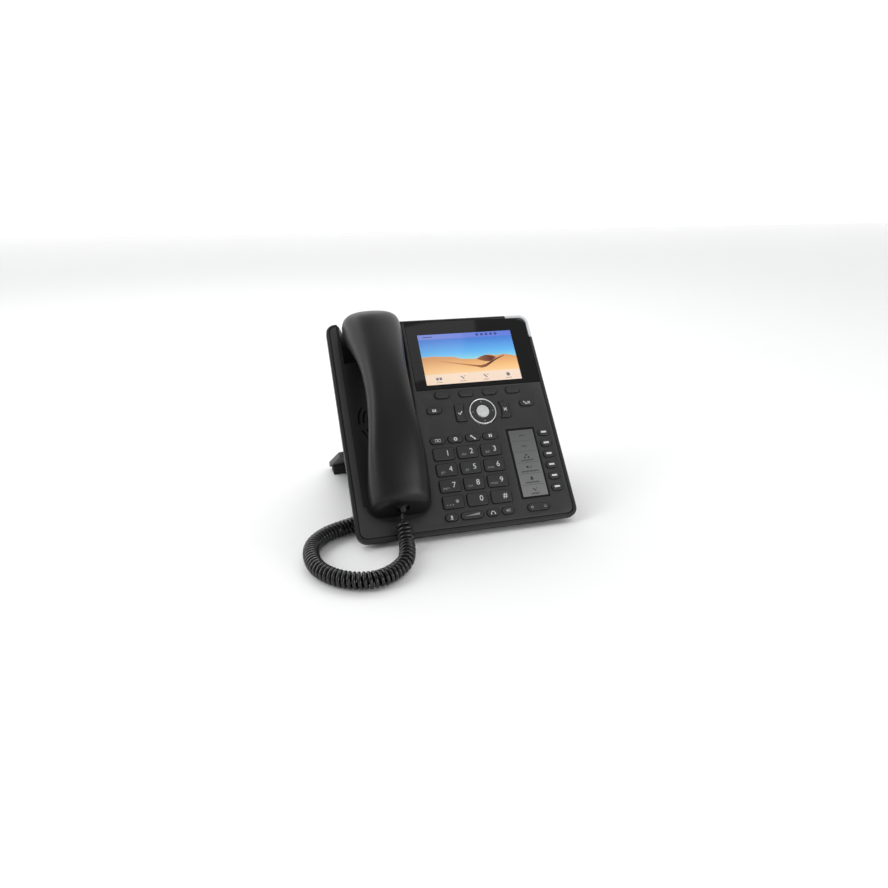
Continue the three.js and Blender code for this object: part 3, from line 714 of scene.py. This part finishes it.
def face_outline():
    """The flat face without the window and the cradle's hollow."""
    side, bottom, corner = FACE_SIDE, 4, 6.2
    outline = arc(-side + corner, bottom + corner, corner, 180, 270)
    outline += arc(side - corner, bottom + corner, corner, 270, 360)
    outline += [(side, WINDOW_BOTTOM - 0.3), (WINDOW_LEFT - 0.3, WINDOW_BOTTOM - 0.3),
                (WINDOW_LEFT - 0.3, FACE_TOP), (land_right(FACE_TOP), FACE_TOP)]
    outline += [*reversed(bowed_edge()), (LAND_LEFT, LAND_BOTTOM)]
    return outline + arc(-side + corner, FACE_TOP - corner, corner, 90, 180)


def face_openings():
    openings = [key_outline(name, KEY_GAP) for name in KEY_NAMES]
    openings.append(arc(*NAV, NAV_OPENING, 0, 354, 60))
    openings.append(rounded(*LABEL_SIZE, 0.6, *node_middle("label_display"), 3))
    return openings


def add_fascia():
    """The flat face, and the cradle's hollow with its two pockets and the loudspeaker's slots."""
    face = plate(face_outline(), -2.6, 0, 0.5, face_openings(), 0.25)
    fit(add_piece(face, "front_fascia_face", charcoal_abs), "console", "charcoal_abs", "front_fascia")

    wall = 1.8
    trays = merged([lower_pocket(wall, -11.8, -0.3), upper_pocket(wall, -15.8, -0.3)])
    below_top = plate([(-120, 0), (0, 0), (0, FACE_TOP - 0.05), (-120, FACE_TOP - 0.05)], -20, 5)
    trays = combined(trays, below_top, "INTERSECT")
    trays = combined(trays, hollow_sheet(12, 0), "DIFFERENCE")
    cradle = combined(hollow_sheet(0, -2.4), trays, "UNION")
    cradle = combined(cradle, merged([lower_pocket(0, -10, 2), upper_pocket(0, -14, 2)]), "DIFFERENCE")
    cradle = combined(cradle, merged([plate(slot, -9.5, 1) for slot in grille_slots()]), "DIFFERENCE")
    low, high = face_box("hook_switch")
    hook = bar(*node_middle("hook_switch"), high.x - low.x + 0.8, high.y - low.y + 0.8)
    cradle = combined(cradle, plate(hook, -18, -12), "DIFFERENCE")
    # The hollow takes the ABS that is painted darker with the handset's shade.
    fit(add_piece(cradle, "front_fascia_cradle", cradle_painted_shade_abs, smooth_angle=30), "console", "charcoal_abs")


# ---------- keys ----------
def add_key(name):
    """A cap with round edges and a shallow dish."""
    bm = plate(key_outline(name), -3.4, KEY_TOP, 0.55, segments=3)
    tops = [face for face in bm.faces
            if face.normal.z > 0.99 and face.calc_center_median().z > KEY_TOP - 0.01]
    bmesh.ops.dissolve_faces(bm, faces=tops)
    crown = max(bm.faces, key=lambda face: face.calc_center_median().z)
    bmesh.ops.inset_region(bm, faces=[crown], thickness=0.7, depth=-0.1, use_even_offset=True)
    return fit(add_piece(bm, name + "_cap", key_abs, smooth_angle=50), name, "key_plastic", name)


INK_LEVEL = KEY_TOP - 0.1
DIAL_LETTERS = {"2": "abc", "3": "def", "4": "ghi", "5": "jkl", "6": "mno", "7": "pqrs", "8": "tuv",
                "9": "wxyz"}


def bar(u, v, width, height):
    return [(u - width / 2, v - height / 2), (u + width / 2, v - height / 2), (u + width / 2, v + height / 2),
            (u - width / 2, v + height / 2)]


def slanted(u, v, width, height, degrees):
    """A bar turned about its middle."""
    turn = Matrix.Rotation(math.radians(degrees), 2)
    middle = Vector((u, v))
    return [tuple(middle + turn @ (Vector(corner) - middle)) for corner in bar(u, v, width, height)]


def ring_outline(u, v, radius):
    return arc(u, v, radius, 0, 345, 23)


def receiver(u, v, size):
    """A small handset sign, a bar with two round ends, leaning."""
    step = size * 0.36
    return [[slanted(u, v, size, size * 0.26, -45)], [ring_outline(u - step, v + step, size * 0.24)],
            [ring_outline(u + step, v - step, size * 0.24)]]


# Signs drawn about the middle of their keys. Each is a list of groups: an outline and what is open in it.
SIGNS = [
    ("directory_sign", "function_key_directory", white_ink,
     [[bar(side, 0, 2.4, 2.6), bar(side, 0, 1.7, 1.9)] for side in (-1.4, 1.4)]),
    ("menu_sign", "function_key_menu", white_ink, [[ring_outline(0, 0, 1.75), ring_outline(0, 0, 0.8)]]),
    ("transfer_sign", "function_key_transfer", white_ink, receiver(0, 0, 4)),
    ("hold_sign", "function_key_hold", white_ink, [[bar(side, 0, 1.1, 3)] for side in (-0.9, 0.9)]),
    ("message_sign", "message_key", white_ink,
     [[bar(0, 0, 3.6, 2.5), [(-1.4, 0.9), (0, -0.3), (1.4, 0.9)]]]),
    ("redial_sign", "redial_key", white_ink,
     receiver(-1.6, 0, 2.8) + [[bar(2, level, 3, 0.6)] for level in (0.7, -0.7)]),
    ("confirm_sign", "confirm_key", white_ink,
     [[slanted(-1.2, -0.6, 2.3, 0.75, -45)], [slanted(0.75, 0.1, 4.1, 0.75, 52)]]),
    ("cancel_sign", "cancel_key", white_ink,
     [[slanted(0, 0, 4, 0.75, 45)], [slanted(-0.95, 0.95, 1.3, 0.75, -45)],
      [slanted(0.95, -0.95, 1.3, 0.75, -45)]]),
    ("mute_sign", "mute_key", white_ink, [[rounded(1.5, 2.7, 0.7, 0, 0.3, 3)], [bar(0, -1.7, 2.2, 0.5)]]),
    ("volume_wedge", "volume_key", grey_ink, [[[(-6.8, -0.5), (6.8, -0.5), (6.8, 1.5)]]]),
    ("headset_sign", "headset_key", white_ink,
     [[arc(0, -0.7, 1.9, 0, 180, 10) + arc(0, -0.7, 1.4, 180, 0, 10)],
      *([bar(side, -1.2, 0.9, 1.2)] for side in (-1.7, 1.7))]),
    ("speaker_sign", "speaker_key", grey_ink,
     [[[(-1.7, -0.7), (-0.7, -0.7), (0.5, -1.6), (0.5, 1.6), (-0.7, 0.7), (-1.7, 0.7)]],
      [bar(1.3, 0, 0.45, 1.9)], [bar(2.2, 0, 0.45, 2.9)]]),
    ("page_signs", "page_key", grey_ink,
     [[ring_outline(-6.3, 0, 1.2), ring_outline(-6.3, 0, 0.6)],
      *([bar(6.2, level, 2.6, 0.5)] for level in (0.3, -0.9))]),
]
SIGNS += [(f"{name}_bar", name, white_ink, [[rounded(5.3, 1.7, 0.5, 0, 0.3)]])
          for name in KEY_NAMES if name.startswith("line_key")]
SIGNS.append(("dial_key_star_signs", "dial_key_star", grey_ink,
              [[ring_outline(-6 + 2.6 * index, -2.6, 0.55)] for index in range(3)]))


def add_sign(name, key, ink, groups):
    u, v = node_middle(key)
    if key in BESIDE_RING:
        u, v = NAV[0] + BESIDE_RING[key] * BESIDE_REACH, NAV[1]
    solids = []
    for group in groups:
        outline, *openings = [[(u + x, v + y) for x, y in points] for points in group]
        solids.append(plate(outline, INK_LEVEL, INK_LEVEL + PRINT, openings=openings))
    fit(add_piece(merged(solids), name, ink, smooth_angle=None), key, "key_plastic")


def add_legends():
    for sign in SIGNS:
        add_sign(*sign)
    for name in (name for name in KEY_NAMES if name.startswith("dial_key_")):
        u, v = node_middle(name)
        digit = name.removeprefix("dial_key_")
        if digit == "star":
            lettering("*", 7.8, u + 3.6, v - 1.3, INK_LEVEL, f"{name}_digit", white_ink, name)
        else:
            lettering("#" if digit == "hash" else digit, 7.2, u + 3.6, v + 0.3, INK_LEVEL, f"{name}_digit",
                      white_ink, name)
        if digit in DIAL_LETTERS:
            lettering(DIAL_LETTERS[digit], 3.4, u - 3.9, v - 2, INK_LEVEL, f"{name}_letters", grey_ink, name)


# ---------- navigation ring and centre button ----------
# Profiles of (radius, w), turned about the ring's middle.
PAD_PROFILE = [(7.0, -3.9), (11.95, -3.9), (11.95, 0.6), (11.5, 0.8), (9.6, 0.7), (7.5, 0.9), (7.0, 0.5)]
TRIM_PROFILE = [(12.0, -3.9), (12.9, -3.9), (13.0, 0.7), (12.8, 1.05), (12.5, 1.15), (12.15, 1.0),
                (12.0, 0.7)]
BUTTON_PROFILE = [(0, -4.4), (6.2, -4.4), (6.2, 0.6), (6.0, 0.95), (5.5, 1.1), (4.6, 1.05), (2.5, 0.8),
                  (0, 0.7)]


def add_navigation():
    u, v = NAV
    pad = add_piece(turned(PAD_PROFILE, u, v), "navigation_ring_pad", key_abs, smooth_angle=40)
    fit(pad, "navigation_ring", "key_plastic", "navigation_ring")
    trim = add_piece(turned(TRIM_PROFILE, u, v), "navigation_trim_ring", chrome_trim, smooth_angle=40)
    fit(trim, "navigation_ring", "silver_trim")
    button = add_piece(turned(BUTTON_PROFILE, u, v, 48), "navigation_button_cap", aluminium, smooth_angle=40)
    fit(button, "navigation_button", "silver_trim", "navigation_button")
    arrows = []
    for quarter in range(4):
        turn = Matrix.Rotation(math.pi / 2 * quarter, 2)
        corners = [turn @ Vector(corner) for corner in ((10.5, 0), (9.3, 0.9), (9.3, -0.9))]
        arrows.append(plate([(u + corner.x, v + corner.y) for corner in corners], 0.78, 0.84))
    arrows = add_piece(merged(arrows), "navigation_arrows", grey_ink, smooth_angle=None)
    fit(arrows, "navigation_ring", "key_plastic")


# ---------- window and display picture ----------
PICTURE = (32.17, 168.47, 95.04, 53.86)  # middle, width and height of the lit picture
LAYER = 0.03                             # each layer of the picture stands this far over the last


def picture_layer(outlines, depth, name, material):
    """Part of the picture: outlines on the display, depth layers above the window."""
    solids = [plate(outline, 0.01, 0.02 + LAYER * depth) for outline in outlines]
    return fit(add_piece(merged(solids), name, material, smooth_angle=None), "console", "display_panel")


def on_picture(shares):
    """Places on the display, from shares of its width and height."""
    u, v, width, height = PICTURE
    return [(u + width * (across - 0.5), v + height * (rise - 0.5)) for across, rise in shares]


def dune(shares, foot):
    """A dune's outline, with a soft crest through the given points and a level foot."""
    line = on_picture(shares)
    fine = []
    for (first_u, first_v), (next_u, next_v) in zip(line, line[1:]):
        for part in range(8):
            share = part / 8
            fine.append((first_u + (next_u - first_u) * share, first_v + (next_v - first_v) * ease(share)))
    fine.append(line[-1])
    floor = on_picture([(0, foot)])[0][1]
    return [(fine[-1][0], floor), *reversed(fine), (fine[0][0], floor)]


def word(u, v, letters, height):
    """A row of small marks in place of lettering."""
    start = u - (letters - 1) * height * 0.42
    return [bar(start + index * height * 0.84, v + height * 0.12 * (index % 3 - 1), height * 0.56,
                height * 0.8) for index in range(letters)]


LIT = 0.46                               # how brightly the display shines
LIGHT_LEFT, LIGHT_STRIP = 77.6, 1.1      # the light guide takes this strip off the window's upper edge


def add_window():
    low, high = face_box("display_window")
    corner = 6
    outline = [(low.x, low.y), (high.x, low.y), (high.x, high.y - corner - 0.8)]
    outline += arc(high.x - corner, high.y - corner - LIGHT_STRIP, corner, 0, 90)
    outline += [(LIGHT_LEFT, high.y - LIGHT_STRIP), (LIGHT_LEFT, high.y), (low.x, high.y)]
    pane = add_piece(plate(outline, -1.5, 0, 0.15), "display_window_pane", window_acrylic)
    fit(pane, "console", "window_glass", "display_window")


def lit_shade(name, axis, stops):
    """A lit colour of the display, seen through clear acrylic."""
    u, v, width, height = PICTURE
    return face_shade(name, (u - width / 2, v - height / 2, 0), axis, width if axis == "X" else height, stops,
                      LIT, **{"Roughness": 0.12, "Coat Weight": 1.0, "Coat Roughness": 0.03})


def display_signs():
    """Four signs with a word each along the foot, and small marks along the top."""
    u, v, width, height = PICTURE
    left, bottom = u - width / 2, v - height / 2
    signs = []
    for index in range(4):
        middle = left + width * (0.135 + 0.243 * index)
        level = bottom + 5.9
        signs += word(middle, bottom + 2.2, 8, 0.9)
        if index == 0:
            signs += [bar(middle - 1.6, level, 2.4, 2.8), bar(middle + 1.6, level, 2.4, 2.8)]
        elif index == 3:
            signs.append(ring_outline(middle, level, 1.9))
        else:
            signs += [receiver(middle, level, 4.4)[0][0], bar(middle + 2.6, level + 1.3, 1.9, 0.5)]
    top = bottom + height * 0.95
    signs += [bar(left + width * share, top, 2.6, 2.4) for share in (.63, .68, .73, .78, .83)]
    signs.append(bar(left + width * 0.1, top, 9, 0.9))
    return signs


def add_display():
    """The lit picture: blue sky over sand, a bar with signs at its foot and another along its top."""
    u, v, width, height = PICTURE
    bottom = v - height / 2
    sky = lit_shade("display_sky", "Y", [(0.45, "#83c9d2"), (0.6, "#5aa6dc"), (0.86, "#3f74c4"),
                                         (1.0, "#4a6ab8")])
    sand = lit_shade("display_sand", "Y", [(0.15, "#efc692"), (0.32, "#dfae74"), (0.5, "#c98d58")])
    shade = lit_shade("display_sand_shade", "X", [(0.0, "#c99a62"), (0.5, "#a2683c"), (0.72, "#54261f"),
                                                  (1.0, "#8a5030")])
    top_bar = lit_shade("display_status_bar", "X", [(0.0, "#6a7cc4"), (1.0, "#5870c8")])
    foot_bar = lit_shade("display_button_bar", "X", [(0.0, "#e6cdb4"), (1.0, "#dfc9b8")])
    sign = lit_shade("display_signs", "Y", [(0.0, "#6f7076"), (1.0, "#27357a")])
    far = dune([(0, .55), (.12, .555), (.3, .53), (.45, .47), (.55, .46), (.63, .5), (.7, .53), (.78, .505),
                (.88, .515), (1, .47)], .1)
    ridge = [(.17, .47), (.3, .42), (.45, .365), (.55, .335), (.6, .325), (.65, .34), (.7, .38), (.76, .435),
             (.87, .505)]
    under = [(.87, .49), (.76, .4), (.7, .335), (.65, .285), (.6, .27), (.55, .3), (.45, .34), (.3, .4),
             (.17, .455)]
    hill = [(.57, .45), (.62, .5), (.67, .525), (.74, .5), (.78, .465), (.71, .39), (.65, .4)]
    picture_layer([bar(u, v, width, height)], 1, "display_picture_sky", sky)
    picture_layer([far], 2, "display_picture_far_dunes", sand)
    picture_layer([on_picture(ridge + under), on_picture(hill)], 3, "display_picture_shadows", shade)
    for name, middle, share, glow in (("buttons", 0.1, 0.2, foot_bar), ("status", 0.95, 0.1, top_bar)):
        strip = bar(u, bottom + height * middle, width, height * share)
        picture_layer([strip], 3, f"display_picture_{name}", glow)
    picture_layer(display_signs(), 4, "display_picture_signs", sign)


def add_label_display():
    """A grey reflective display behind black glass, with six fields."""
    high = face_box("label_display")[1]
    u, v = node_middle("label_display")
    width, height = 24.2, 65
    u += 0.4                             # the black border is wider on the left
    top = high.z
    refinish("label_display", window_acrylic)
    # Reflective liquid crystal display: matt grey, lighter towards the bottom, with a faint painted glow.
    panel = face_shade("label_crystal_grey", (u, v - height / 2, 0), "Y", height,
                       [(0.0, "#7d7d7d"), (0.45, "#707171"), (1.0, "#5e5f5f")], 0.03, Roughness=0.35)
    fit(add_piece(plate(bar(u, v, width, height), top + 0.005, top + 0.06), "label_display_field", panel,
                  smooth_angle=None), "console", "label_panel")
    # Switched-on crystal dots: nearly black.
    dots = face_shade("label_crystal_dark", (u, v - height / 2, 0), "Y", height,
                      [(0.0, "#262728"), (1.0, "#3a3b3d")], 0.0, Roughness=0.4)
    pitch = height / 6
    signs = [bar(u, v - height / 2 + pitch * line, width - 3, 0.22) for line in range(1, 6)]
    for field in range(6):
        middle = v + height / 2 - pitch * (field + 0.5)
        if field < 2:
            signs += word(u, middle, 4, 1.6)
            continue
        signs += word(u, middle - 3.2, (0, 0, 9, 13, 10, 6)[field], 1.6)
        if field == 2:
            signs += [ring_outline(u, middle + 2, 1.0), ring_outline(u - 1.9, middle - 0.4, 1.0),
                      ring_outline(u + 1.9, middle - 0.4, 1.0)]
        elif field == 3:
            signs += [ring_outline(u - 1.5, middle + 1, 1.2), slanted(u + 1.6, middle + 0.8, 3.2, 0.7, 35)]
        elif field == 4:
            signs += [[(u - 1.7, middle - 0.8), (u + 1.7, middle - 0.8), (u + 0.9, middle + 1.8),
                       (u - 0.9, middle + 1.8)], ring_outline(u, middle + 2.3, 0.5)]
        else:
            signs += [slanted(u, middle + 0.6, 3.8, 1.0, -45), slanted(u + 2.2, middle + 1.8, 1.6, 0.5, 45)]
    solids = [plate(outline, top + 0.01, top + 0.1) for outline in signs]
    fit(add_piece(merged(solids), "label_display_signs", dots, smooth_angle=None), "console", "label_panel")


# ---------- handset ----------
# Stations along it: outer edge (v, w), inner edge (v, w), height of the widest line, half width.
STATIONS = [
    (25.0, 17, 19.4, -2, 6, 15.5), (25.8, 21.8, 19.2, -5, 5, 21.5), (27.6, 25.6, 21.2, -7.5, 4, 24.8),
    (31, 28.6, 26.6, -8.3, 4, 26.8), (40, 31.3, 37, -8.3, 6.5, 27.3), (50, 34.7, 48, -4.5, 13, 26.6),
    (64, 38.6, 64, 6, 23, 25.2), (80, 42.6, 80, 15.5, 30, 23.2), (100, 45.8, 100, 21, 34.3, 20.7),
    (120, 47, 120, 22.5, 35, 19.3), (140, 46.4, 140, 21, 34.5, 19.5), (157, 44.4, 157, 14.5, 29.5, 21.2),
    (171, 41.2, 171, 3, 24, 23.6), (184, 37.8, 184, -9.5, 17, 25.9), (197, 34.4, 196.6, -12.5, 10, 27.3),
    (206, 30.4, 205.6, -12.5, 7, 27.1), (211, 24.4, 210.4, -10.5, 5, 24.6), (213, 17.4, 212.4, -6, 4, 19),
]
SQUARENESS = 2.5                         # 2 is an ellipse, higher is boxier
SEAM_DEPTH = 0.55
SEAM_ANGLE = 0.8


def handset_angles():
    """Angles round a station, with three close together on each side for the seam, and its inset."""
    half = [(15 * step, 0) for step in range(1, 12)]
    right = [(-SEAM_ANGLE, 0), (0, SEAM_DEPTH), (SEAM_ANGLE, 0)]
    left = [(180 + angle, inset) for angle, inset in right]
    return right + half + left + [(180 + angle, inset) for angle, inset in half]


def add_handset():
    bm = bmesh.new()
    angles = handset_angles()
    loops = []
    for out_v, out_w, in_v, in_w, wide_w, half in STATIONS:
        made = bmesh.ops.create_circle(bm, segments=len(angles), radius=1)["verts"]
        share = (wide_w - in_w) / (out_w - in_w)
        middle_v = in_v + (out_v - in_v) * share
        for vert, (angle, inset) in zip(made, angles):
            turn = math.radians(angle)
            across = math.copysign(abs(math.cos(turn)) ** (2 / SQUARENESS), math.cos(turn))
            reach = abs(math.sin(turn)) ** (2 / SQUARENESS)
            end_v, end_w = (out_v, out_w) if math.sin(turn) > 0 else (in_v, in_w)
            vert.co = (HANDSET_U + across * (half - inset), middle_v + (end_v - middle_v) * reach,
                       wide_w + (end_w - wide_w) * reach)
        rim = set(made)
        loops.append([side for side in bm.edges if side.verts[0] in rim and side.verts[1] in rim])
    for first, second in zip(loops, loops[1:]):
        bmesh.ops.bridge_loops(bm, edges=first + second)
    for loop in (loops[0], loops[-1]):
        cap = bmesh.ops.contextual_create(bm, geom=loop)["faces"]
        bmesh.ops.inset_region(bm, faces=cap, thickness=3.5, use_even_offset=False)
        bmesh.ops.poke(bm, faces=cap)
    bmesh.ops.recalc_face_normals(bm, faces=bm.faces[:])
    body = as_object(bm, "handset_form")
    smooth = body.modifiers.new("smooth", "SUBSURF")
    smooth.levels = smooth.render_levels = 2
    formed = bmesh.new()
    formed.from_mesh(evaluated_mesh(body))
    bpy.data.objects.remove(body)
    socket = plate(rounded(11.4, 9.4, 1.2, HANDSET_U, 10.7, 4), 0, 20)
    endwise = Matrix.Translation((0, 38, 0)) @ Matrix.Rotation(math.pi / 2, 4, "X")
    bmesh.ops.transform(socket, verts=socket.verts[:], matrix=endwise)
    formed = combined(formed, socket, "DIFFERENCE")
    holes = [ring_outline(HANDSET_U + 3.4 * u, 190 + 3.4 * v, 0.9)
             for u in (-1, 0, 1) for v in (-1, 0, 1)] + [ring_outline(HANDSET_U, 42, 1.0)]
    formed = combined(formed, merged([plate(hole, -20, -6) for hole in holes]), "DIFFERENCE")
    piece = add_piece(formed, "handset_shell", handset_abs, smooth_angle=40)
    fit(piece, "handset", "handset_plastic", "handset_outer_shell", "handset_inner_shell")


# ---------- back, stand and what shows of the inside ----------
BACK_LEVEL = -27.6
SCREW_PLACES = [(-62, 40), (62, 40), (-62, 176), (62, 176)]


def screw(u, v, name):
    """A countersunk screw head with a cross recess, looking out of the back."""
    head = plate(ring_outline(u, v, 3.0), 0, 1.2, 0.4)
    for width, height in ((3.4, 0.9), (0.9, 3.4)):
        head = combined(head, plate(bar(u, v, width, height), 0.4, 2), "DIFFERENCE")
    turn = Matrix.Translation((0, 0, BACK_LEVEL)) @ Matrix.Diagonal((1, 1, -1, 1))
    bmesh.ops.transform(head, verts=head.verts[:], matrix=turn)
    bmesh.ops.recalc_face_normals(head, faces=head.faces[:])
    return fit(add_piece(head, name, steel), "console", "steel")


def add_back():
    softened("rear_housing", dark_abs, 0.8, "dark_abs")
    softened("socket_block", dark_abs, 0.4, "dark_abs")
    # The stand takes the ABS that is painted nearly black with the console's shade.
    softened("foot_stand", stand_painted_shade_abs, 0.7, "dark_abs", "foot_stand")
    softened("stand_foot_strip", rubber, 0.5, "rubber", "foot_stand")
    softened("front_foot_left", rubber, 0.5, "rubber")
    softened("front_foot_right", rubber, 0.5, "rubber")
    softened("call_indicator_light", light_guide, 0.5, "light_guide")
    softened("hook_switch", dark_abs, 0.5, "dark_abs", "hook_switch")
    for index, (u, v) in enumerate(SCREW_PLACES, 1):
        screw(u, v, f"housing_screw_{index}")


def finish_inside():
    """Finishes of the CAD nodes that stay as they are."""
    inside = {"main_circuit_board": board_mask, "keypad_mat": silicone, "loudspeaker": speaker_paper,
              "earpiece_capsule": steel, "microphone_capsule": steel, "navigation_gimbal": steel,
              "colour_display": steel}
    for name, material in inside.items():
        refinish(name, material)


add_camera()
add_studio()
add_cord()
add_fascia()
for key_name in KEY_NAMES:
    add_key(key_name)
add_legends()
add_navigation()
add_window()
add_display()
add_label_display()
add_handset()
add_back()
finish_inside()
